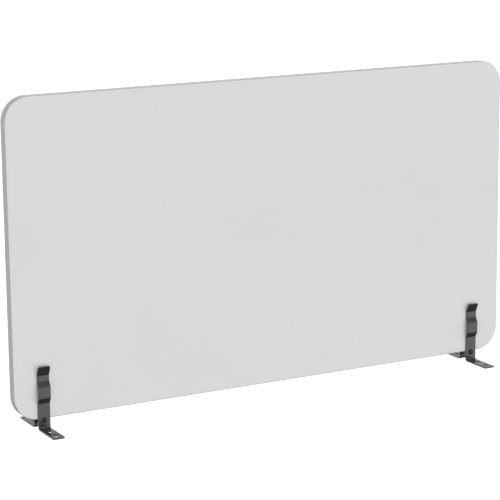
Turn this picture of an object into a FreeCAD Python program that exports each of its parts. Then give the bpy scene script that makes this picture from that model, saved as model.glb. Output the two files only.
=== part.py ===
"""Desk privacy panel: a laminated board held upright on a desk top by two sprung steel clips.

Frame: millimetres, +Z up, origin on the desk surface below the middle of the board. +X runs along the
board, and -Y is the side that the clamp screws are driven from.
"""
import FreeCAD, Part
import math
import os
import Sketcher

os.makedirs("parts", exist_ok=True)
doc = FreeCAD.newDocument("desk_privacy_panel")

# ---------------------------------------------------------------- driving dimensions, in millimetres

SIZES = (
    ("panel_width", 915, "board, along X"),
    ("panel_height", 510, "board, bottom edge to top edge"),
    ("panel_thick", 16, "board with both laminates"),
    ("corner_radius", 40, "rounded corners of the board"),
    ("desk_gap", 18, "desk surface to the board's bottom edge"),
    ("laminate_thick", 0.8, "decorative sheet on each face"),
    ("band_thick", 1, "edge band round the rim"),
    ("band_arris", 0.5, "rounded long edges of the band"),
    ("left_inset", 49, "board's left end to the left clip's centre line"),
    ("right_inset", 55, "board's right end to the right clip's centre line"),
    ("strip_width", 20, "bracket strip, along X"),
    ("strip_thick", 2.5, "bracket strip's gauge"),
    ("bend_inside", 2.5, "inside radius of every bend"),
    ("grip_clearance", 0.05, "board face to the bracket's leg"),
    ("foot_reach", 60, "board face to the tip of the foot"),
    ("foot_corner", 2, "rounded corners of the foot's tip"),
    ("bulge_start", 43.5, "height where the leg bends away from the board"),
    ("bulge_low", 52, "height where the bulge turns upright"),
    ("bulge_high", 69.5, "height where the bulge leans back in"),
    ("bulge_end", 79, "height where the upper grip face starts"),
    ("flare_start", 89, "height where the upper grip face ends"),
    ("flare_tip", 104, "height of the strip's end"),
    ("bulge_depth", 4.7, "how far the bulge stands out"),
    ("flare_depth", 6.5, "how far the flared end stands out"),
    ("flare_corner", 3, "rounded corners of the flared end"),
    ("slot_width", 5.5, "desk screw slots in the feet"),
    ("slot_length", 12, "slot, end to end"),
    ("slot_first", 23.2, "board face to the inner slot's centre"),
    ("slot_pitch", 25, "between the two slots of a foot"),
    ("hole_diameter", 4.5, "clamp screw hole in each bracket"),
    ("screw_height", 15.9, "clamp screw axis above the desk"),
    ("screw_diameter", 4, "M4 clamp screw"),
    ("screw_length", 30, "under the head"),
    ("screw_chamfer", 0.6, "at the screw's tip"),
    ("head_diameter", 7.6, "button head"),
    ("head_height", 2.2, "button head"),
    ("head_dome", 1.6, "rounding of the button head"),
    ("socket_flats", 2.5, "hexagon socket across flats"),
    ("socket_depth", 1.3, "hexagon socket"),
    ("washer_outer", 9, "plain washer"),
    ("washer_inner", 4.3, "bore of both kinds of washer"),
    ("washer_thick", 0.8, "plain washer"),
    ("spring_outer", 7.6, "spring lock washer"),
    ("spring_thick", 1, "spring lock washer, flattened"),
    ("spring_slit", 0.8, "cut through the spring lock washer"),
    ("nut_flats", 7, "M4 nut across flats"),
    ("nut_thick", 3.2, "M4 nut"),
    ("nut_bore", 4.1, "running clearance on the screw"),
    ("turn_clearance", 0.05, "under the screw's head, so that it turns"),
)

sheet = doc.addObject("Spreadsheet::Sheet", "sizes")
for row, (alias, value, note) in enumerate(SIZES, start=1):
    sheet.set(f"A{row}", alias)
    sheet.set(f"B{row}", str(value))
    sheet.set(f"C{row}", note)
    sheet.setAlias(f"B{row}", alias)
doc.recompute()

ALIASES = sorted((alias for alias, _, _ in SIZES), key=len, reverse=True)
MISSING = 1e-9  # below this a coordinate counts as lying on a sketch axis


def cells(formula):
    """Turns aliases into references to the sheet, so that "panel_width / 2" works as an expression."""
    words = []
    for word in formula.replace("(", " ( ").replace(")", " ) ").split():
        words.append(f"sizes.{word}" if word in ALIASES else word)
    return " ".join(words)


def number(formula):
    """The present value of a formula of aliases."""
    result = sheet.evalExpression(cells(formula))
    return float(getattr(result, "Value", result))


# ---------------------------------------------------------------- sketch helpers


def new_body(label):
    body = doc.addObject("PartDesign::Body", label)
    body.Label = label
    return body


def new_sketch(body, name, plane, offset="0"):
    """A sketch on one of the body's own planes; offset moves it along the plane's normal."""
    sketch = body.newObject("Sketcher::SketchObject", f"{body.Name}_{name}")
    support = next(o for o in body.Origin.OriginFeatures if o.Role == plane)
    sketch.AttachmentSupport = (support, "")
    sketch.MapMode = "FlatFace"
    sketch.setExpression("AttachmentOffset.Base.z", cells(offset))
    return sketch


def dimension(sketch, kind, references, formula):
    """Adds a constraint whose value is a formula of aliases."""
    index = sketch.addConstraint(Sketcher.Constraint(kind, *references, number(formula)))
    sketch.setExpression(f"Constraints[{index}]", cells(formula))


def place_point(sketch, geometry, end, across, up):
    """Holds a point at (across, up) from the sketch's origin, both formulas of aliases."""
    for kind, formula, axis in (("DistanceX", across, -2), ("DistanceY", up, -1)):
        value = number(formula)
        if abs(value) < MISSING:
            sketch.addConstraint(Sketcher.Constraint("PointOnObject", geometry, end, axis))
        elif value > 0:
            dimension(sketch, kind, (-1, 1, geometry, end), formula)
        else:
            dimension(sketch, kind, (geometry, end, -1, 1), f"-1 * ( {formula} )")


def vector(across, up):
    return FreeCAD.Vector(number(across), number(up), 0)


def bend_at(before, corner, after, radius):
    """The arc that rounds a corner: where it starts, where it ends, its geometry, and its turn."""
    inward = (corner - before).normalize()
    outward = (after - corner).normalize()
    turn = inward.getAngle(outward)
    reach = radius * math.tan(turn / 2)
    start = corner - inward * reach
    end = corner + outward * reach
    left = inward.cross(outward).z > 0
    side = 1 if left else -1
    centre = start + FreeCAD.Vector(-inward.y, inward.x, 0) * radius * side
    angles = [math.atan2(p.y - centre.y, p.x - centre.x) for p in (start, end)]
    if not left:
        angles.reverse()
    circle = Part.Circle(centre, FreeCAD.Vector(0, 0, 1), radius)
    return start, end, Part.ArcOfCircle(circle, *angles), left


def rounded_path(sketch, corners, radius, closed):
    """Straight runs joined by tangent arcs of one radius, through corners given as formulas."""
    points = [vector(*corner) for corner in corners]
    count = len(points)
    bends = range(count) if closed else range(1, count - 1)
    arcs = {i: bend_at(points[i - 1], points[i], points[(i + 1) % count], number(radius)) for i in bends}
    runs = count if closed else count - 1
    for i in range(runs):
        begin = arcs[i][1] if i in arcs else points[i]
        finish = arcs[(i + 1) % count][0] if (i + 1) % count in arcs else points[(i + 1) % count]
        sketch.addGeometry(Part.LineSegment(begin, finish))
    first_arc = None
    for i in bends:
        _, _, arc, left = arcs[i]
        bend = sketch.addGeometry(arc)
        entry, leave = (1, 2) if left else (2, 1)
        before = (i - 1) % runs
        sketch.addConstraint(Sketcher.Constraint("Tangent", before, 2, bend, entry))
        sketch.addConstraint(Sketcher.Constraint("Tangent", i % runs, 1, bend, leave))
        corner = sketch.addGeometry(Part.Point(points[i]), True)
        sketch.addConstraint(Sketcher.Constraint("PointOnObject", corner, 1, before))
        sketch.addConstraint(Sketcher.Constraint("PointOnObject", corner, 1, i % runs))
        place_point(sketch, corner, 1, *corners[i])
        if first_arc is None:
            dimension(sketch, "Radius", (bend,), radius)
            first_arc = bend
        else:
            sketch.addConstraint(Sketcher.Constraint("Equal", first_arc, bend))
    if not closed:
        place_point(sketch, 0, 1, *corners[0])
        place_point(sketch, runs - 1, 2, *corners[-1])


def polygon(sketch, corners):
    """A closed outline of straight edges through corners given as formulas."""
    points = [vector(*corner) for corner in corners]
    first = sketch.GeometryCount
    for i, point in enumerate(points):
        sketch.addGeometry(Part.LineSegment(point, points[(i + 1) % len(points)]))
    for i, corner in enumerate(corners):
        following = first + (i + 1) % len(points)
        sketch.addConstraint(Sketcher.Constraint("Coincident", first + i, 2, following, 1))
        place_point(sketch, first + i, 1, *corner)


def circle(sketch, diameter, up="0"):
    """A circle on the sketch's vertical axis."""
    centre = vector("0", up)
    ring = sketch.addGeometry(Part.Circle(centre, FreeCAD.Vector(0, 0, 1), number(diameter) / 2))
    dimension(sketch, "Diameter", (ring,), diameter)
    place_point(sketch, ring, 3, "0", up)


def hexagon_corners(flats):
    """Corners of a hexagon, as formulas of its width across flats."""
    corners = []
    for k in range(6):
        turn = math.radians(60 * k)
        corner_share = 1 / math.sqrt(3)
        corners.append((f"{flats} * {corner_share * math.cos(turn):.9f}",
                        f"{flats} * {corner_share * math.sin(turn):.9f}"))
    return corners


# ---------------------------------------------------------------- feature helpers


def pad(body, sketch, length, symmetric=False):
    feature = body.newObject("PartDesign::Pad", f"{sketch.Name}_pad")
    feature.Profile = sketch
    feature.SideType = "Symmetric" if symmetric else "One side"
    feature.setExpression("Length", cells(length))
    doc.recompute()
    return feature


def cut_both_ways(body, sketch, length):
    """A pocket centred on its sketch's plane. It has to take material away."""
    before = body.Shape.Volume
    feature = body.newObject("PartDesign::Pocket", f"{sketch.Name}_pocket")
    feature.Profile = sketch
    feature.SideType = "Symmetric"
    feature.setExpression("Length", cells(length))
    doc.recompute()
    if body.Shape.Volume > before - MISSING:
        raise RuntimeError(f"{feature.Name} cuts nothing")
    return feature


def round_edges(body, radius, chosen):
    """Fillets the edges of the body's last feature that the function chosen picks."""
    base = body.Tip
    names = [f"Edge{i}" for i, edge in enumerate(base.Shape.Edges, start=1) if chosen(edge)]
    if not names:
        raise RuntimeError(f"no edge of {body.Label} to round")
    feature = body.newObject("PartDesign::Fillet", f"{body.Name}_round_{len(body.Group)}")
    feature.Base = (base, names)
    feature.setExpression("Radius", cells(radius))
    doc.recompute()
    return feature


# ---------------------------------------------------------------- the board


def outline_corners(inset):
    """The board's outline, drawn in by inset all round."""
    half = f"( panel_width / 2 - {inset} )"
    low = f"( desk_gap + {inset} )"
    high = f"( desk_gap + panel_height - {inset} )"
    return ((f"-1 * {half}", low), (half, low), (half, high), (f"-1 * {half}", high))


def board_outline(sketch, inset):
    rounded_path(sketch, outline_corners(inset), f"corner_radius - {inset}", closed=True)


def panel_core():
    """Particleboard between the two laminates, inside the edge band."""
    body = new_body("panel_core")
    sketch = new_sketch(body, "outline", "XZ_Plane")
    board_outline(sketch, "band_thick")
    pad(body, sketch, "panel_thick - 2 * laminate_thick", symmetric=True)
    return body


def laminate(label, offset):
    """A decorative sheet; the plane's normal points to -Y, so offset is the sheet's back from there."""
    body = new_body(label)
    sketch = new_sketch(body, "outline", "XZ_Plane", offset)
    board_outline(sketch, "band_thick")
    pad(body, sketch, "laminate_thick")
    return body


def edge_band():
    """One strip of edging glued round the whole rim, its outer edges rounded."""
    body = new_body("edge_band")
    outer = new_sketch(body, "outline", "XZ_Plane")
    board_outline(outer, "0")
    pad(body, outer, "panel_thick", symmetric=True)
    face = number("panel_thick / 2")

    def on_a_face(edge):
        box = edge.BoundBox
        return box.YLength < MISSING and abs(abs(box.YMin) - face) < MISSING

    round_edges(body, "band_arris", on_a_face)
    inner = new_sketch(body, "inside", "XZ_Plane")
    board_outline(inner, "band_thick")
    cut_both_ways(body, inner, "2 * panel_thick")
    return body


# ---------------------------------------------------------------- a clip's brackets

LEG = "( panel_thick / 2 + grip_clearance + strip_thick / 2 )"  # strip's middle, from the board's middle
FOOT_TIP = "( panel_thick / 2 + foot_reach )"


def strip_corners(side):
    """Middle line of the bent strip, from the foot's tip to the flared end."""
    levels = (
        (FOOT_TIP, "strip_thick / 2"),
        (LEG, "strip_thick / 2"),
        (LEG, "bulge_start"),
        (f"( {LEG} + bulge_depth )", "bulge_low"),
        (f"( {LEG} + bulge_depth )", "bulge_high"),
        (LEG, "bulge_end"),
        (LEG, "flare_start"),
        (f"( {LEG} + flare_depth )", "flare_tip"),
    )
    return [(f"{side} * {out}", up) for out, up in levels]


def bent_strip(body, side):
    """The flat bar, swept along its middle line."""
    path = new_sketch(body, "path", "YZ_Plane")
    rounded_path(path, strip_corners(side), "bend_inside + strip_thick / 2", closed=False)
    section = new_sketch(body, "section", "XZ_Plane", f"{-side} * {FOOT_TIP}")
    half = "strip_width / 2"
    polygon(section, ((f"-1 * {half}", "0"), (half, "0"), (half, "strip_thick"), (f"-1 * {half}", "strip_thick")))
    pipe = body.newObject("PartDesign::AdditivePipe", f"{body.Name}_bar")
    pipe.Profile = section
    pipe.Spine = path
    pipe.Mode = "Frenet"
    doc.recompute()


def desk_slots(body, side):
    """Two slots along the foot, for screws into the desk top."""
    sketch = new_sketch(body, "slots", "XY_Plane")
    first = f"{side} * ( panel_thick / 2 + slot_first )"
    second = f"{side} * ( panel_thick / 2 + slot_first + slot_pitch )"
    reach = "( slot_length / 2 - slot_width / 2 )"
    radius = number("slot_width / 2")
    up = FreeCAD.Vector(0, 0, 1)
    for middle in (first, second):
        ends = (f"{middle} - {reach}", f"{middle} + {reach}")
        low, high = (vector("0", end) for end in ends)
        start = sketch.addGeometry(Part.ArcOfCircle(Part.Circle(low, up, radius), math.pi, 2 * math.pi))
        stop = sketch.addGeometry(Part.ArcOfCircle(Part.Circle(high, up, radius), 0, math.pi))
        across = FreeCAD.Vector(radius, 0, 0)
        right = sketch.addGeometry(Part.LineSegment(low + across, high + across))
        left = sketch.addGeometry(Part.LineSegment(high - across, low - across))
        sketch.addConstraint(Sketcher.Constraint("Tangent", start, 2, right, 1))
        sketch.addConstraint(Sketcher.Constraint("Tangent", right, 2, stop, 1))
        sketch.addConstraint(Sketcher.Constraint("Tangent", stop, 2, left, 1))
        sketch.addConstraint(Sketcher.Constraint("Tangent", left, 2, start, 1))
        place_point(sketch, start, 3, "0", ends[0])
        place_point(sketch, stop, 3, "0", ends[1])
        dimension(sketch, "Radius", (start,), "slot_width / 2")
    cut_both_ways(body, sketch, "4 * strip_thick")


def bracket(label, side, centre):
    """An L-shaped spring bracket; side is -1 for the front one and 1 for the rear one."""
    body = new_body(label)
    bent_strip(body, side)
    desk_slots(body, side)
    hole = new_sketch(body, "screw_hole", "XZ_Plane")
    circle(hole, "hole_diameter", "screw_height")
    cut_both_ways(body, hole, "2 * panel_thick")
    gauge = number("strip_thick")
    tip = number(FOOT_TIP)
    flare = number("( flare_start + flare_tip ) / 2")

    def through_the_strip(edge):
        return abs(edge.Length - gauge) < 1e-6 and len(edge.Vertexes) == 2

    def at_foot_tip(edge):
        return through_the_strip(edge) and abs(abs(edge.CenterOfMass.y) - tip) < 1e-6

    def at_flared_end(edge):
        return through_the_strip(edge) and edge.CenterOfMass.z > flare

    round_edges(body, "foot_corner", at_foot_tip)
    round_edges(body, "flare_corner", at_flared_end)
    body.setExpression("Placement.Base.x", cells(centre))
    return body


# ---------------------------------------------------------------- a clip's fasteners


def stand_on_axis(body, centre, forward):
    """Puts a piece on the clamp screw's axis: its own +Z points to -Y, and its z = 0 is at forward."""
    body.Placement = FreeCAD.Placement(FreeCAD.Vector(), FreeCAD.Rotation(FreeCAD.Vector(1, 0, 0), 90))
    body.setExpression("Placement.Base.x", cells(centre))
    body.setExpression("Placement.Base.y", cells(f"-1 * ( {forward} )"))
    body.setExpression("Placement.Base.z", cells("screw_height"))
    return body


def revolve(body, sketch):
    feature = body.newObject("PartDesign::Revolution", f"{body.Name}_turned")
    feature.Profile = sketch
    feature.ReferenceAxis = (sketch, ["V_Axis"])
    feature.Angle = 360
    doc.recompute()


def clamp_screw(label, centre):
    """M4 button-head socket screw. Its thread is a plain cylinder at the nominal diameter."""
    body = new_body(label)
    sketch = new_sketch(body, "profile", "XZ_Plane")
    shank = "screw_diameter / 2"
    polygon(sketch, (
        ("0", "-1 * screw_length"),
        (f"( {shank} - screw_chamfer )", "-1 * screw_length"),
        (shank, "-1 * ( screw_length - screw_chamfer )"),
        (shank, "0"),
        ("head_diameter / 2", "0"),
        ("head_diameter / 2", "head_height"),
        ("0", "head_height"),
    ))
    revolve(body, sketch)
    top = number("head_height")
    round_edges(body, "head_dome", lambda e: abs(e.BoundBox.ZMin - top) < 1e-6 and len(e.Vertexes) == 1)
    socket = new_sketch(body, "socket", "XY_Plane", "head_height")
    polygon(socket, hexagon_corners("socket_flats"))
    cut_both_ways(body, socket, "2 * socket_depth")
    return stand_on_axis(body, centre, f"{FRONT_OF_BRACKET} + washer_thick + turn_clearance")


def ring(label, outer, inner, thick, centre, forward):
    body = new_body(label)
    sketch = new_sketch(body, "rings", "XY_Plane")
    circle(sketch, outer)
    circle(sketch, inner)
    pad(body, sketch, thick)
    return stand_on_axis(body, centre, forward)


def spring_washer(label, centre, forward):
    """A lock washer pressed flat, with the cut that makes it a spring."""
    body = ring(label, "spring_outer", "washer_inner", "spring_thick", centre, forward)
    slit = new_sketch(body, "slit", "XY_Plane")
    half = "spring_slit / 2"
    polygon(slit, ((f"-1 * {half}", "0"), (half, "0"), (half, "spring_outer"), (f"-1 * {half}", "spring_outer")))
    cut_both_ways(body, slit, "4 * spring_thick")
    return body


def clamp_nut(label, centre, forward):
    """M4 hexagon nut with chamfered corners. Its bore is a plain running fit on the screw."""
    body = new_body(label)
    sketch = new_sketch(body, "hexagon", "XY_Plane")
    polygon(sketch, hexagon_corners("nut_flats"))
    circle(sketch, "nut_bore")
    pad(body, sketch, "nut_thick")
    corner_reach = "nut_flats * 0.6"
    chamfer_drop = "( nut_flats * 0.1 * 0.577 )"
    for end, level, step in (("top", "nut_thick", "-1 *"), ("foot", "0", "1 *")):
        groove = new_sketch(body, f"chamfer_{end}", "XZ_Plane")
        polygon(groove, (
            ("nut_flats / 2", level),
            (corner_reach, level),
            (corner_reach, f"{level} + {step} {chamfer_drop}"),
        ))
        before = body.Shape.Volume
        feature = body.newObject("PartDesign::Groove", f"{body.Name}_chamfer_{end}_cut")
        feature.Profile = groove
        feature.ReferenceAxis = (groove, ["V_Axis"])
        feature.Angle = 360
        doc.recompute()
        if body.Shape.Volume > before - MISSING:
            raise RuntimeError(f"{feature.Name} cuts nothing")
    return stand_on_axis(body, centre, forward)


FRONT_OF_BRACKET = "panel_thick / 2 + grip_clearance + strip_thick"
BACK_OF_BRACKET = f"-1 * ( {FRONT_OF_BRACKET} )"


def clip(hand, centre):
    """One clip: two brackets, and the screw, washers and nut that squeeze them on the board."""
    nut_washer_back = f"{BACK_OF_BRACKET} - washer_thick"
    spring_back = f"{nut_washer_back} - spring_thick"
    return [
        bracket(f"{hand}_front_bracket", -1, centre),
        bracket(f"{hand}_rear_bracket", 1, centre),
        clamp_screw(f"{hand}_clamp_screw", centre),
        ring(f"{hand}_head_washer", "washer_outer", "washer_inner", "washer_thick", centre, FRONT_OF_BRACKET),
        ring(f"{hand}_nut_washer", "washer_outer", "washer_inner", "washer_thick", centre, nut_washer_back),
        spring_washer(f"{hand}_spring_washer", centre, spring_back),
        clamp_nut(f"{hand}_clamp_nut", centre, f"{spring_back} - nut_thick"),
    ]


# ---------------------------------------------------------------- build, test and write

pieces = [
    panel_core(),
    laminate("front_laminate", "panel_thick / 2 - laminate_thick"),
    laminate("rear_laminate", "-1 * ( panel_thick / 2 )"),
    edge_band(),
]
pieces += clip("left", "-1 * ( panel_width / 2 - left_inset )")
pieces += clip("right", "panel_width / 2 - right_inset")
doc.recompute()

for thing in doc.Objects:
    if "Invalid" in thing.State or "Error" in thing.State:
        raise RuntimeError(f"{thing.Name} failed: {thing.State}")

for piece in pieces:
    shape = piece.Shape
    if shape.isNull() or not shape.isValid() or len(shape.Solids) != 1:
        raise RuntimeError(f"{piece.Label} is not one valid solid")
    shape.exportStep(f"parts/{piece.Label}.step")
    box = shape.BoundBox
    print(f"{piece.Label:22s} {box.XLength:8.2f} {box.YLength:8.2f} {box.ZLength:8.2f}  {shape.Volume:12.1f} mm3")
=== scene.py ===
"""The desk privacy panel's visible pieces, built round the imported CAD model, and the studio they stand in.

Shapes are worked out in millimetres and written to the meshes in metres, in the CAD model's own frame.
"""

import math

import bmesh
import bpy
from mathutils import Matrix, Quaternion, Vector


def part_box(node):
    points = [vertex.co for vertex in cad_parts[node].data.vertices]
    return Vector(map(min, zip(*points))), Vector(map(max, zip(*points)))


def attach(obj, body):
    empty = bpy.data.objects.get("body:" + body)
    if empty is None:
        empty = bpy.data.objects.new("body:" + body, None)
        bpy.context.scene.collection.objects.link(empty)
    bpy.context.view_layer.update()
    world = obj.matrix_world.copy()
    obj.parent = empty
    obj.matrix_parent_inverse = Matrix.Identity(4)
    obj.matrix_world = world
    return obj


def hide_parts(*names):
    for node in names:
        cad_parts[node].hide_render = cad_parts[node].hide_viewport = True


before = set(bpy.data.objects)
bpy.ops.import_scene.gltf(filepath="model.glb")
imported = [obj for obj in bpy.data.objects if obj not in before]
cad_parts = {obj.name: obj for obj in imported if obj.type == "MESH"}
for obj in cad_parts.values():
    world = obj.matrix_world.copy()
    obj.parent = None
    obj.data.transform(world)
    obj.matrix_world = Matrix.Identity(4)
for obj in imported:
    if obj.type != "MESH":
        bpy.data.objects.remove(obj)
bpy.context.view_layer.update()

MM = 0.001
TURN = 2 * math.pi

# ---------------------------------------------------------------- sizes, in millimetres

BOARD_THICK = 16.0
BAND_THICK = 1.0
BAND_ARRIS = 0.5
CORNER_RADIUS = 40.0
CORNER_STEPS = 36  # divisions of a board corner
JOINT_BEVEL = 0.08  # broken edges where the band meets the sheets
SHEET_THICK = 0.8
BAND_JOINT_X = 118.0  # where the edge band's two ends meet, under the board
BAND_JOINT_DIP = 0.12  # depth of the hairline groove there
BAND_JOINT_HALF = 0.12  # half the groove's width
ARRIS_STEPS = 8  # divisions of the band's rounded edges

STRIP_WIDTH = 20.0
STRIP_THICK = 2.5
STRIP_ROUND = 0.42  # rounded edges of the flat bar
MIDDLE_RADIUS = 3.75  # of the bends, at the middle of the strip
BEND_STEP = 5  # degrees of a bend to each division
FOOT_TIP = 68.0
LEG = 9.3  # middle of the leg's strip, from the middle of the board
BULGE_DEPTH = 4.7
FLARE_DEPTH = 6.5
STRIP_LINE = (  # the strip's middle line: out from the board's middle, up from the desk
    (FOOT_TIP, STRIP_THICK / 2),
    (LEG, STRIP_THICK / 2),
    (LEG, 43.5),
    (LEG + BULGE_DEPTH, 52.0),
    (LEG + BULGE_DEPTH, 69.5),
    (LEG, 79.0),
    (LEG, 89.0),
    (LEG + FLARE_DEPTH, 104.0),
)
FOOT_CORNER = 2.0
FLARE_CORNER = 3.0
SLOT_MIDDLES = (31.2, 56.2)
SLOT_LENGTH = 12.0
SLOT_WIDTH = 5.5
SLOT_ROUND = 0.2  # rounded edges of the slots
SLOT_STEPS = 20  # divisions of a slot's end
HOLE_RADIUS = 2.25
HOLE_ROUND = 0.15
HOLE_STEPS = 36
OUTLINE_STEPS = 8  # divisions of the bar's corners
ROUND_STEPS = 4  # divisions of the bar's rounded edges
SCREW_HEIGHT = 15.9

PITCH = 0.7
SCREW_RADIUS = 2.0
SCREW_LENGTH = 30.0
SCREW_CHAMFER = 0.6  # at the tip
PLAIN_NECK = 0.35  # unthreaded length under the head
THREAD_DEPTH = 0.4
THREAD_STEPS = 7  # divisions to a pitch
THREAD_SLOPE = 1.35  # how steeply the flanks rise
THREAD_ROOT = 0.12  # share of the rise that is left flat at the root
HEAD_RADIUS = 3.8
HEAD_HEIGHT = 2.2
HEAD_EDGE = 0.12  # broken edge of the head's rim
DOME_BASE = 0.45  # height where the head's dome starts
DOME_FLAT = 1.9  # radius where it ends
DOME_STEPS = 9
SOCKET_FLATS = 2.5
SOCKET_DEPTH = 1.3
SOCKET_LIP = 1.72  # radius of the flat round the socket's mouth
SOCKET_EDGE = 0.12
NUT_FLATS = 7.0
NUT_THICK = 3.2
NUT_CLEARANCE = 0.05
NUT_CROWN = 0.97  # the nut's flat crown, as a share of its flats
NUT_CHAMFER = 30  # degrees
NUT_MOUTH = 0.25  # countersink at the ends of the nut's thread
WASHER_BORE = 2.15  # radius
WASHER_EDGE = 0.12  # broken edges of the plain washers
WASHER_STEPS = 72
SPRING_EDGE = 0.14
SPRING_SLIT = 0.8
SPRING_STEPS = 80
AROUND = 36  # divisions round the screws and nuts

# ---------------------------------------------------------------- mesh helpers


def finished(bm, name, sharp_degrees=40):
    """Turns a bmesh in millimetres into an object in metres, smooth except across sharp edges."""
    bmesh.ops.remove_doubles(bm, verts=bm.verts, dist=1e-4)
    bmesh.ops.recalc_face_normals(bm, faces=bm.faces)
    bmesh.ops.scale(bm, vec=(MM, MM, MM), verts=bm.verts)
    mesh = bpy.data.meshes.new(name)
    bm.to_mesh(mesh)
    bm.free()
    mesh.shade_smooth()
    mesh.set_sharp_from_angle(angle=math.radians(sharp_degrees))
    piece = bpy.data.objects.new(name, mesh)
    bpy.context.scene.collection.objects.link(piece)
    weighted = piece.modifiers.new("even_shading", "WEIGHTED_NORMAL")
    weighted.keep_sharp = True
    return piece


def skin(bm, rings, lengthwise=False):
    """Quads between closed rings of points. lengthwise also joins the last ring to the first."""
    made = [[bm.verts.new(p) for p in ring] for ring in rings]
    count = len(rings[0])
    follow = list(zip(made, made[1:]))
    if lengthwise:
        follow.append((made[-1], made[0]))
    for low, high in follow:
        for i in range(count):
            j = (i + 1) % count
            bm.faces.new((low[i], low[j], high[j], high[i]))
    return made


def arc_points(centre, radius, start, end, steps):
    """Points on a circle's arc, both ends included; angles in degrees."""
    points = []
    for k in range(steps + 1):
        a = math.radians(start + (end - start) * k / steps)
        points.append((centre[0] + radius * math.cos(a), centre[1] + radius * math.sin(a)))
    return points


def rounded_box(low, high, radii, steps):
    """Anticlockwise outline of a rectangle; radii go round from the low-low corner."""
    (x0, y0), (x1, y1) = low, high
    r0, r1, r2, r3 = radii
    outline = arc_points((x0 + r0, y0 + r0), r0, 180, 270, steps)
    outline += arc_points((x1 - r1, y0 + r1), r1, 270, 360, steps)
    outline += arc_points((x1 - r2, y1 - r2), r2, 0, 90, steps)
    outline += arc_points((x0 + r3, y1 - r3), r3, 90, 180, steps)
    return outline


def drawn_in(loop, distance):
    """The loop moved to its left by distance: into the material, for an anticlockwise outline."""
    moved = []
    for i, point in enumerate(loop):
        before = (Vector(point) - Vector(loop[i - 1])).normalized()
        after = (Vector(loop[(i + 1) % len(loop)]) - Vector(point)).normalized()
        n1, n2 = Vector((-before.y, before.x)), Vector((-after.y, after.x))
        mitre = (n1 + n2) / (1 + n1.dot(n2))
        moved.append(tuple(Vector(point) + mitre * distance))
    return moved


def plate(loops, thick, rounds, steps):
    """A flat plate about the plane z = 0, with rounded edges.

    The first loop is the outline, and the rest are holes, run clockwise.
    """
    bm = bmesh.new()
    half = thick / 2
    bottoms, tops = [], []
    for loop, radius in zip(loops, rounds):
        side = [(radius * (1 - math.cos(a)), half - radius * (1 - math.sin(a)))
                for a in (math.pi / 2 * k / steps for k in range(steps + 1))]
        levels = [(inset, -height) for inset, height in reversed(side)] + side
        rings = [[(*p, height) for p in drawn_in(loop, inset)] for inset, height in levels]
        made = skin(bm, rings)
        bottoms.append(made[0])
        tops.append(made[-1])
    for rims, facing in ((bottoms, -1), (tops, 1)):
        pairs = [(rim[i], rim[(i + 1) % len(rim)]) for rim in rims for i in range(len(rim))]
        edges = [bm.edges.get(pair) for pair in pairs]
        bmesh.ops.triangle_fill(bm, edges=edges, use_beauty=True, normal=(0, 0, facing))
    return bm


# ---------------------------------------------------------------- the bent brackets


class MiddleLine:
    """Straight runs and tangent arcs through corners, measured by the distance along them."""

    def __init__(self, corners, radius):
        self.spans = []
        self.length = 0.0
        here = Vector(corners[0])
        for i in range(1, len(corners) - 1):
            corner = Vector(corners[i])
            inward = (corner - Vector(corners[i - 1])).normalized()
            outward = (Vector(corners[i + 1]) - corner).normalized()
            turn = math.atan2(inward.x * outward.y - inward.y * outward.x, inward.dot(outward))
            reach = radius * math.tan(abs(turn) / 2)
            heading = math.atan2(inward.y, inward.x)
            self.add((corner - inward * reach - here).length, here, heading, 0.0)
            self.add(radius * abs(turn), corner - inward * reach, heading, math.copysign(1 / radius, turn))
            here = corner + outward * reach
        last = Vector(corners[-1]) - here
        self.add(last.length, here, math.atan2(last.y, last.x), 0.0)

    def add(self, length, start, heading, curve):
        self.spans.append((self.length, length, start, heading, curve))
        self.length += length

    def at(self, distance):
        """The point there and the direction to the line's left."""
        span = next(s for s in reversed(self.spans) if s[0] <= distance + 1e-9 or s is self.spans[0])
        begin, _, start, heading, curve = span
        run = distance - begin
        angle = heading + curve * run
        if curve:
            step = Vector((math.sin(angle) - math.sin(heading), math.cos(heading) - math.cos(angle))) / curve
        else:
            step = Vector((math.cos(angle), math.sin(angle))) * run
        return start + step, Vector((-math.sin(angle), math.cos(angle)))

    def stations(self, degrees):
        """Distances where a bent mesh has to be divided."""
        marks = []
        for begin, length, _, _, curve in self.spans:
            if curve:
                steps = math.ceil(abs(math.degrees(curve * length)) / degrees)
                marks += [begin + length * k / steps for k in range(steps + 1)]
        return marks


def slot_loop(middle):
    """Clockwise outline of a slot along the strip."""
    half, reach = SLOT_WIDTH / 2, (SLOT_LENGTH - SLOT_WIDTH) / 2
    outline = arc_points((0, middle + reach), half, 180, 0, SLOT_STEPS)
    outline += arc_points((0, middle - reach), half, 0, -180, SLOT_STEPS)
    return outline


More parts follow.
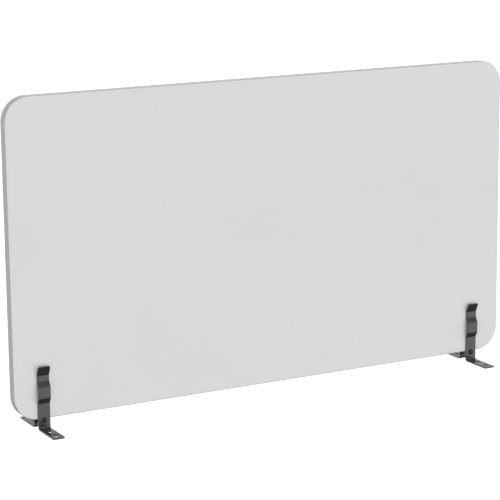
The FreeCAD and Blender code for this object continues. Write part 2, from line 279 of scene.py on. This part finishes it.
def bracket(name, node, side):
    """A bracket cut flat as it would be from bar stock, then bent along the middle line."""
    line = MiddleLine(STRIP_LINE, MIDDLE_RADIUS)
    leg_start, _, leg_foot, _, _ = line.spans[2]
    hole_at = leg_start + SCREW_HEIGHT - leg_foot.y
    half = STRIP_WIDTH / 2
    corners = (FOOT_CORNER, FOOT_CORNER, FLARE_CORNER, FLARE_CORNER)
    outline = rounded_box((-half, 0), (half, line.length), corners, OUTLINE_STEPS)
    hole = arc_points((0, hole_at), HOLE_RADIUS, 360 - 360 / HOLE_STEPS, 0, HOLE_STEPS - 1)
    loops = [outline, hole] + [slot_loop(FOOT_TIP - middle) for middle in SLOT_MIDDLES]
    rounds = [STRIP_ROUND, HOLE_ROUND, SLOT_ROUND, SLOT_ROUND]
    bm = plate(loops, STRIP_THICK, rounds, ROUND_STEPS)
    for mark in line.stations(BEND_STEP):
        everything = bm.verts[:] + bm.edges[:] + bm.faces[:]
        bmesh.ops.bisect_plane(bm, geom=everything, dist=1e-5, plane_co=(0, mark, 0), plane_no=(0, 1, 0))
    low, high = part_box(node)
    middle_x = (low.x + high.x) / 2 / MM
    for vert in bm.verts:
        point, left = line.at(vert.co.y)
        out, up = point + left * vert.co.z
        vert.co = (middle_x + vert.co.x, side * out, up)
    return finished(bm, name)


# ---------------------------------------------------------------- fasteners


def on_axis(bm, node):
    """Turns a mesh made about +Z so that +Z points to -Y, and puts its z = 0 at the node's far side."""
    low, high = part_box(node)
    x, y, z = (low.x + high.x) / 2 / MM, high.y / MM, SCREW_HEIGHT
    for vert in bm.verts:
        vert.co = (x + vert.co.x, y - vert.co.z, z + vert.co.y)
    return bm


def ring(radius, level, count=AROUND):
    """Points round the axis; radius is a number or a function of the angle."""
    reach = radius if callable(radius) else lambda angle: radius
    angles = [TURN * k / count for k in range(count)]
    return [(reach(a) * math.cos(a), reach(a) * math.sin(a), level) for a in angles]


def hexagon(flats):
    """Distance from the middle to a hexagon's side, by angle."""
    return lambda a: flats / 2 / math.cos((a + math.pi / 6) % (math.pi / 3) - math.pi / 6)


def thread(level, depth=THREAD_DEPTH, extra=0.0):
    """Radius of a right-hand thread by angle, at a distance along the axis."""
    def reach(angle):
        phase = (level / PITCH - angle / TURN) % 1
        rise = THREAD_SLOPE * (1 - abs(2 * phase - 1)) - THREAD_ROOT
        ridge = min(1.0, max(0.0, rise))
        return SCREW_RADIUS - depth * (1 - ridge) + extra
    return reach


def clamp_screw(name, node):
    """Button head with a hexagon socket, and a full-length thread."""
    _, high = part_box(node)
    tip = -high.y / MM
    bm = bmesh.new()
    socket = hexagon(SOCKET_FLATS)
    under = SCREW_LENGTH
    top = under + HEAD_HEIGHT
    rings = [ring(socket, top - SOCKET_DEPTH), ring(socket, top - 1.5 * SOCKET_EDGE)]
    rings += [ring(lambda a: socket(a) + SOCKET_EDGE, top - 0.25 * SOCKET_EDGE), ring(SOCKET_LIP, top)]
    for k in range(1, DOME_STEPS + 1):
        a = math.pi / 2 * k / DOME_STEPS
        radius = DOME_FLAT + (HEAD_RADIUS - DOME_FLAT) * math.sin(a)
        rings.append(ring(radius, under + DOME_BASE + (HEAD_HEIGHT - DOME_BASE) * math.cos(a)))
    rings += [ring(HEAD_RADIUS, under + HEAD_EDGE), ring(HEAD_RADIUS - HEAD_EDGE, under)]
    neck = under - PLAIN_NECK
    rings += [ring(SCREW_RADIUS, under), ring(SCREW_RADIUS, neck)]
    steps = round((neck - PLAIN_NECK) / PITCH * THREAD_STEPS)
    for k in range(steps + 1):
        level = neck - neck * k / steps
        depth = THREAD_DEPTH * min(1.0, k / THREAD_STEPS)
        limit = SCREW_RADIUS - SCREW_CHAMFER + level
        cut = thread(tip + level, depth)
        rings.append(ring(lambda a: min(cut(a), limit), level))
    made = skin(bm, rings)
    bm.faces.new(made[0])
    bm.faces.new(made[-1])
    return finished(on_axis(bm, node), name, sharp_degrees=38)


def washer_section(node, edge):
    """A washer's cut through one side, as (radius, level) with broken edges, and its thickness."""
    low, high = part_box(node)
    outer = (high.x - low.x) / 2 / MM
    thick = (high.y - low.y) / MM
    bore = WASHER_BORE
    section = (
        (bore, edge), (bore + edge, 0), (outer - edge, 0), (outer, edge),
        (outer, thick - edge), (outer - edge, thick), (bore + edge, thick), (bore, thick - edge),
    )
    return section, thick


def washer(name, node):
    section, _ = washer_section(node, WASHER_EDGE)
    bm = bmesh.new()
    skin(bm, [ring(radius, level, WASHER_STEPS) for radius, level in section], lengthwise=True)
    return finished(on_axis(bm, node), name)


def spring_washer(name, node):
    """A square-section coil, pressed flat, open for the width of the slit."""
    section, thick = washer_section(node, SPRING_EDGE)
    bm = bmesh.new()
    rings = []
    for k in range(SPRING_STEPS + 1):
        rings.append([])
        for radius, level in section:
            gap = math.asin(SPRING_SLIT / 2 / radius)
            slant = 0.5 * (level / thick - 0.5) * SPRING_SLIT / radius
            a = math.pi / 2 + gap + (TURN - 2 * gap) * k / SPRING_STEPS + slant
            rings[-1].append((radius * math.cos(a), radius * math.sin(a), level))
    made = skin(bm, rings)
    bm.faces.new(made[0])
    bm.faces.new(made[-1])
    return finished(on_axis(bm, node), name)


def clamp_nut(name, node):
    """Hexagon nut, chamfered on both sides, with its thread cut inside."""
    _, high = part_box(node)
    start = -high.y / MM
    six = hexagon(NUT_FLATS)
    crown = NUT_FLATS / 2 * NUT_CROWN
    mouth = SCREW_RADIUS + NUT_MOUTH

    def drop(angle):
        return (six(angle) - crown) * math.tan(math.radians(NUT_CHAMFER))

    def wall(level_of):
        angles = [TURN * k / AROUND for k in range(AROUND)]
        return [(*point[:2], level_of(a)) for point, a in zip(ring(six, 0), angles)]

    bm = bmesh.new()
    rings = [ring(mouth, 0), ring(crown, 0), wall(drop)]
    rings += [wall(lambda a: NUT_THICK - drop(a)), ring(crown, NUT_THICK), ring(mouth, NUT_THICK)]
    steps = round(NUT_THICK / PITCH * THREAD_STEPS)
    for k in range(1, steps):
        level = NUT_THICK * (1 - k / steps)
        flare = mouth - min(level, NUT_THICK - level)
        cut = thread(start + level, extra=NUT_CLEARANCE)
        rings.append(ring(lambda a: max(cut(a), flare), level))
    skin(bm, rings, lengthwise=True)
    return finished(on_axis(bm, node), name, sharp_degrees=28)


# ---------------------------------------------------------------- the board


def board_outline(inset):
    """Anticlockwise outline of the board, drawn in by inset, seen from the front: across, up."""
    low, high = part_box("edge_band")
    radius = CORNER_RADIUS - inset
    a = (low.x / MM + inset, low.z / MM + inset)
    b = (high.x / MM - inset, high.z / MM - inset)
    return rounded_box(a, b, (radius,) * 4, CORNER_STEPS)


def sheet(name, side):
    """One face's decorative sheet. side is -1 at the front."""
    bm = plate([board_outline(BAND_THICK)], SHEET_THICK, [JOINT_BEVEL], 2)
    face = BOARD_THICK / 2 - SHEET_THICK / 2
    for vert in bm.verts:
        across, up, depth = vert.co
        vert.co = (across, side * face + depth, up)
    return finished(bm, name)


def edge_band(name):
    """The band's section carried round the rim, with a hairline joint where its two ends meet."""
    half = BOARD_THICK / 2
    section = [(BAND_THICK, half - JOINT_BEVEL), (BAND_THICK - JOINT_BEVEL, half)]
    for k in range(ARRIS_STEPS + 1):
        a = math.pi / 2 * k / ARRIS_STEPS
        section.append((BAND_ARRIS * (1 - math.sin(a)), half - BAND_ARRIS * (1 - math.cos(a))))
    section += [(inset, -depth) for inset, depth in reversed(section)]
    low_run = CORNER_STEPS  # the outline's point where the bottom run starts
    rings = []
    for inset, depth in section:
        loop = board_outline(inset)
        dip = BAND_JOINT_DIP if inset < BAND_ARRIS else 0
        joint = []
        for offset, lift in ((-BAND_JOINT_HALF, 0), (0, dip), (BAND_JOINT_HALF, 0)):
            joint.append((BAND_JOINT_X + offset, loop[low_run][1] + lift))
        loop = loop[:low_run + 1] + joint + loop[low_run + 1:]
        rings.append([(across, depth, up) for across, up in loop])
    bm = bmesh.new()
    skin(bm, rings, lengthwise=True)
    return finished(bm, name)


# ---------------------------------------------------------------- materials


NOISE_RANGE = (0.3, 0.7)  # where nearly all of a noise's values lie


def grey(level, blue=0.0):
    """A grey; blue is how much stronger its blue is than its red and green."""
    return (level, level, level * (1 + blue))


def set_range(node, from_low, from_high, to_low, to_high):
    """Makes a map-range node take from_low..from_high to to_low..to_high."""
    sockets = ("From Min", "From Max", "To Min", "To Max")
    for socket, value in zip(sockets, (from_low, from_high, to_low, to_high)):
        node.inputs[socket].default_value = value


def set_stops(node, stops):
    """Gives a colour ramp its stops, as (position, colour)."""
    marks = node.color_ramp.elements
    while len(marks) < len(stops):
        marks.new(0.5)
    for mark, (position, colour) in zip(marks, stops):
        mark.position = position
        mark.color = (*colour, 1)


class Shader:
    """A material's node tree, with short ways to add and join nodes."""

    def __init__(self, name):
        self.material = bpy.data.materials.new(name)
        self.material.use_nodes = True
        self.tree = self.material.node_tree
        self.surface = self.tree.nodes["Principled BSDF"]
        self.place = self.add("ShaderNodeTexCoord").outputs["Object"]

    def add(self, kind, **inputs):
        node = self.tree.nodes.new(kind)
        for socket, value in inputs.items():
            node.inputs[socket.replace("_", " ")].default_value = value
        return node

    def join(self, source, target):
        self.tree.links.new(source, target)

    def noise(self, per_metre, detail=2.0, stretch=(1, 1, 1)):
        """Soft noise, with so many features to the metre."""
        mapping = self.add("ShaderNodeMapping", Scale=stretch)
        self.join(self.place, mapping.inputs["Vector"])
        node = self.add("ShaderNodeTexNoise", Scale=per_metre, Detail=detail, Roughness=0.55)
        self.join(mapping.outputs["Vector"], node.inputs["Vector"])
        return node.outputs["Fac"]

    def cells(self, per_metre):
        """Cells of one tone each, with so many to the metre."""
        node = self.add("ShaderNodeTexVoronoi", Scale=per_metre)
        self.join(self.place, node.inputs["Vector"])
        return node

    def ramp(self, factor, stops):
        """A colour ramp; stops are (position, colour)."""
        node = self.add("ShaderNodeValToRGB")
        set_stops(node, list(stops))
        self.join(factor, node.inputs["Fac"])
        return node.outputs["Color"]

    def two_tone(self, noise, low, high):
        """Shades from one colour to another over the noise's range."""
        return self.ramp(noise, zip(NOISE_RANGE, (low, high)))

    def spread(self, noise, low, high):
        """The noise's range, mapped to low..high."""
        node = self.tree.nodes.new("ShaderNodeMapRange")
        set_range(node, *NOISE_RANGE, low, high)
        self.join(noise, node.inputs["Value"])
        return node.outputs["Result"]

    def multiplied(self, first, second):
        """Two colours, multiplied."""
        node = self.tree.nodes.new("ShaderNodeMix")
        node.data_type = "RGBA"
        node.blend_type = "MULTIPLY"
        node.inputs["Factor"].default_value = 1.0
        self.join(first, node.inputs["A"])
        self.join(second, node.inputs["B"])
        return node.outputs["Result"]

    def bump(self, height, millimetres, strength, under=None):
        """A bumpy normal, laid on the one under it."""
        node = self.add("ShaderNodeBump", Strength=strength, Distance=millimetres * MM)
        self.join(height, node.inputs["Height"])
        if under:
            self.join(under, node.inputs["Normal"])
        return node.outputs["Normal"]

    def finish(self, colour, roughness, normal, **constants):
        """Joins up the surface, sets its constant values, and returns the material."""
        self.join(colour, self.surface.inputs["Base Color"])
        self.join(roughness, self.surface.inputs["Roughness"])
        self.join(normal, self.surface.inputs["Normal"])
        for socket, value in constants.items():
            self.surface.inputs[socket.replace("_", " ")].default_value = value
        return self.material


def laminate_material():
    """Matt, light grey, cool melamine with a faint pearl texture."""
    shade = Shader("light_grey_melamine")
    cloud = shade.two_tone(shade.noise(5), grey(0.66, 0.03), grey(0.68, 0.03))
    speck = shade.ramp(shade.noise(900), ((0.25, grey(0.955)), (0.75, grey(1.0))))
    pearl = shade.bump(shade.noise(700, 3), 0.03, 0.25)
    colour = shade.multiplied(cloud, speck)
    return shade.finish(colour, shade.spread(shade.noise(60), 0.5, 0.58), pearl, IOR=1.5)


def edging_material():
    """Smooth grey plastic edging, a little glossier than the faces."""
    shade = Shader("grey_edging")
    cloud = shade.two_tone(shade.noise(9), grey(0.44), grey(0.46))
    speck = shade.ramp(shade.noise(1100), ((0.25, grey(0.94)), (0.75, grey(1.0))))
    pearl = shade.bump(shade.noise(800, 2), 0.02, 0.2)
    colour = shade.multiplied(cloud, speck)
    return shade.finish(colour, shade.spread(shade.noise(90), 0.34, 0.42), pearl, IOR=1.42)


def paint_material():
    """Charcoal powder coat, semi-gloss, with a slight orange peel."""
    shade = Shader("charcoal_powder_coat")
    cloud = shade.two_tone(shade.noise(40), grey(0.027, 0.25), grey(0.034, 0.25))
    speck = shade.two_tone(shade.noise(2600), grey(0.82), grey(1.0))
    peel = shade.bump(shade.noise(620, 1.5), 0.05, 0.35)
    grain = shade.bump(shade.noise(3200, 1), 0.01, 0.25, peel)
    colour = shade.multiplied(cloud, speck)
    return shade.finish(colour, shade.spread(shade.noise(150), 0.15, 0.21), grain, IOR=1.66)


def fastener_material():
    """Black-finished hardware steel."""
    shade = Shader("black_hardware_steel")
    cloud = shade.two_tone(shade.noise(300), grey(0.010, 0.03), grey(0.016, 0.03))
    brushed = shade.bump(shade.noise(2500, 2), 0.01, 0.3)
    return shade.finish(cloud, shade.spread(shade.noise(500), 0.20, 0.30), brushed, IOR=1.45)


def core_material():
    """Pressed wood chips."""
    shade = Shader("particleboard")
    chips = shade.cells(350)
    tone = shade.ramp(chips.outputs["Color"], ((0.0, (0.42, 0.29, 0.17)), (1.0, (0.66, 0.50, 0.32))))
    grain = shade.two_tone(shade.noise(160, 3, (1, 1, 6)), grey(0.8), grey(1.0))
    rough = shade.bump(chips.outputs["Distance"], 0.2, 0.5)
    colour = shade.multiplied(tone, grain)
    return shade.finish(colour, shade.spread(shade.noise(120), 0.78, 0.9), rough)


MATERIALS = {
    "laminate": laminate_material(),
    "edging": edging_material(),
    "bracket_steel": paint_material(),
    "fastener_steel": fastener_material(),
    "particleboard": core_material(),
}


# ---------------------------------------------------------------- put the pieces on their bodies


def settle(piece, body, node, slot):
    """Finishes a piece, and puts it on its body in place of the CAD model's node."""
    piece.data.materials.append(MATERIALS[slot])
    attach(piece, body)
    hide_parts(node)


settle(sheet("front_laminate_sheet", -1), "panel", "front_laminate", "laminate")
settle(sheet("rear_laminate_sheet", 1), "panel", "rear_laminate", "laminate")
settle(edge_band("edge_band_strip"), "panel", "edge_band", "edging")

for hand in ("left", "right"):
    clip, jaw, screw = f"{hand}_clip", f"{hand}_jaw", f"{hand}_screw"
    for face, side, body in (("front", -1, jaw), ("rear", 1, clip)):
        node = f"{hand}_{face}_bracket"
        settle(bracket(f"{node}_bar", node, side), body, node, "bracket_steel")
    node = f"{hand}_clamp_screw"
    settle(clamp_screw(f"{node}_threaded", node), screw, node, "fastener_steel")
    node = f"{hand}_head_washer"
    settle(washer(f"{node}_ring", node), jaw, node, "fastener_steel")
    node = f"{hand}_nut_washer"
    settle(washer(f"{node}_ring", node), clip, node, "fastener_steel")
    node = f"{hand}_spring_washer"
    settle(spring_washer(f"{node}_coil", node), clip, node, "fastener_steel")
    node = f"{hand}_clamp_nut"
    settle(clamp_nut(f"{node}_hex", node), clip, node, "fastener_steel")

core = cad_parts["panel_core"]
core.data.materials.clear()
core.data.materials.append(MATERIALS["particleboard"])

# ---------------------------------------------------------------- floor, light and camera


FLOOR_HALF = 60.0  # metres
FLOOR_GLOW = 0.92

SKY_STRENGTH = 1.55
SKY_STOPS = (  # sine of the elevation, brightness
    (-1.0, 0.05), (-0.62, 0.10), (-0.36, 0.75), (-0.20, 1.0), (0.08, 1.0),
    (0.24, 0.62), (0.45, 0.25), (0.72, 0.34), (0.88, 0.52), (1.0, 0.56),
)
LEFT_DIMMED = (-0.9, 0.71)  # how far left, and the share of the sky's light that is left there
LEFT_FULL = (-0.1, 1.0)

SUNS = (  # name, azimuth, elevation and width in degrees, strength
    ("key_sun", 20, 48, 50, 1.25),
    ("fill_sun", 160, 40, 50, 0.35),
)

CAMERA_AZIMUTH = -28.536
CAMERA_ELEVATION = 12.015
CAMERA_ROLL = -0.560
CAMERA_LENS = 141.72  # on a sensor 36 mm wide
CAMERA_PLACE = (-1.5405, -2.7728, 0.9173)  # metres


def direction(azimuth, elevation):
    """Unit vector towards a place in the studio; degrees, azimuth from the front towards the right."""
    turn, lift = math.radians(azimuth), math.radians(elevation)
    return Vector((math.sin(turn) * math.cos(lift), -math.cos(turn) * math.cos(lift), math.sin(lift)))


def studio_floor():
    """A wide white floor. It shows to the camera and takes shadows, and reflections see the sky below it."""
    bm = bmesh.new()
    corners = ((-1, -1), (1, -1), (1, 1), (-1, 1))
    bm.faces.new([bm.verts.new((x * FLOOR_HALF, y * FLOOR_HALF, 0)) for x, y in corners])
    mesh = bpy.data.meshes.new("studio_floor")
    bm.to_mesh(mesh)
    bm.free()
    floor = bpy.data.objects.new("studio_floor", mesh)
    bpy.context.scene.collection.objects.link(floor)
    material = bpy.data.materials.new("pale_floor")
    material.use_nodes = True
    surface = material.node_tree.nodes["Principled BSDF"]
    surface.inputs["Base Color"].default_value = (0.3, 0.3, 0.3, 1)
    surface.inputs["Emission Color"].default_value = (1, 1, 1, 1)
    surface.inputs["Emission Strength"].default_value = FLOOR_GLOW
    surface.inputs["Roughness"].default_value = 0.9
    surface.inputs["Specular IOR Level"].default_value = 0.0
    mesh.materials.append(material)
    floor.visible_glossy = False
    floor.visible_diffuse = False


def studio_sky():
    """Even light, brightest round the horizon, dim overhead, dimmest underneath and dimmer on the left."""
    world = bpy.data.worlds.new("studio_sky")
    world.use_nodes = True
    tree = world.node_tree
    place = tree.nodes.new("ShaderNodeTexCoord")
    split = tree.nodes.new("ShaderNodeSeparateXYZ")
    level = tree.nodes.new("ShaderNodeMapRange")
    ramp = tree.nodes.new("ShaderNodeValToRGB")
    leftward = tree.nodes.new("ShaderNodeMapRange")
    shaded = tree.nodes.new("ShaderNodeVectorMath")
    set_range(level, -1, 1, 0, 1)
    set_stops(ramp, [((height + 1) / 2, grey(value)) for height, value in SKY_STOPS])
    set_range(leftward, LEFT_DIMMED[0], LEFT_FULL[0], LEFT_DIMMED[1], LEFT_FULL[1])
    shaded.operation = "SCALE"
    sky = tree.nodes["Background"]
    sky.inputs["Strength"].default_value = SKY_STRENGTH
    tree.links.new(place.outputs["Generated"], split.inputs["Vector"])
    tree.links.new(split.outputs["Z"], level.inputs["Value"])
    tree.links.new(level.outputs["Result"], ramp.inputs["Fac"])
    tree.links.new(split.outputs["X"], leftward.inputs["Value"])
    tree.links.new(ramp.outputs["Color"], shaded.inputs["Vector"])
    tree.links.new(leftward.outputs["Result"], shaded.inputs["Scale"])
    tree.links.new(shaded.outputs["Vector"], sky.inputs["Color"])
    bpy.context.scene.world = world


def soft_sun(name, azimuth, elevation, width, strength):
    """Parallel soft light that reflections don't see."""
    lamp = bpy.data.lights.new(name, "SUN")
    lamp.angle = math.radians(width)
    lamp.energy = strength
    sun = bpy.data.objects.new(name, lamp)
    sun.rotation_mode = "QUATERNION"
    sun.rotation_quaternion = direction(azimuth, elevation).to_track_quat("Z", "Y")
    sun.visible_glossy = False
    bpy.context.scene.collection.objects.link(sun)


def photo_camera():
    """The photograph's view, worked out from the board's straight edges, with its slight roll."""
    back = direction(CAMERA_AZIMUTH, CAMERA_ELEVATION)
    roll = Quaternion((0, 0, 1), math.radians(CAMERA_ROLL))
    camera = bpy.data.cameras.new("photo_camera")
    camera.lens = CAMERA_LENS
    camera.sensor_width = 36.0
    camera.clip_start = 0.05
    camera.clip_end = 200.0
    eye = bpy.data.objects.new("photo_camera", camera)
    eye.location = CAMERA_PLACE
    eye.rotation_mode = "QUATERNION"
    eye.rotation_quaternion = (-back).to_track_quat("-Z", "Y") @ roll
    bpy.context.scene.collection.objects.link(eye)
    bpy.context.scene.camera = eye


studio_floor()
studio_sky()
for sun_values in SUNS:
    soft_sun(*sun_values)
photo_camera()

scene = bpy.context.scene
scene.view_settings.view_transform = "Standard"
scene.view_settings.look = "None"
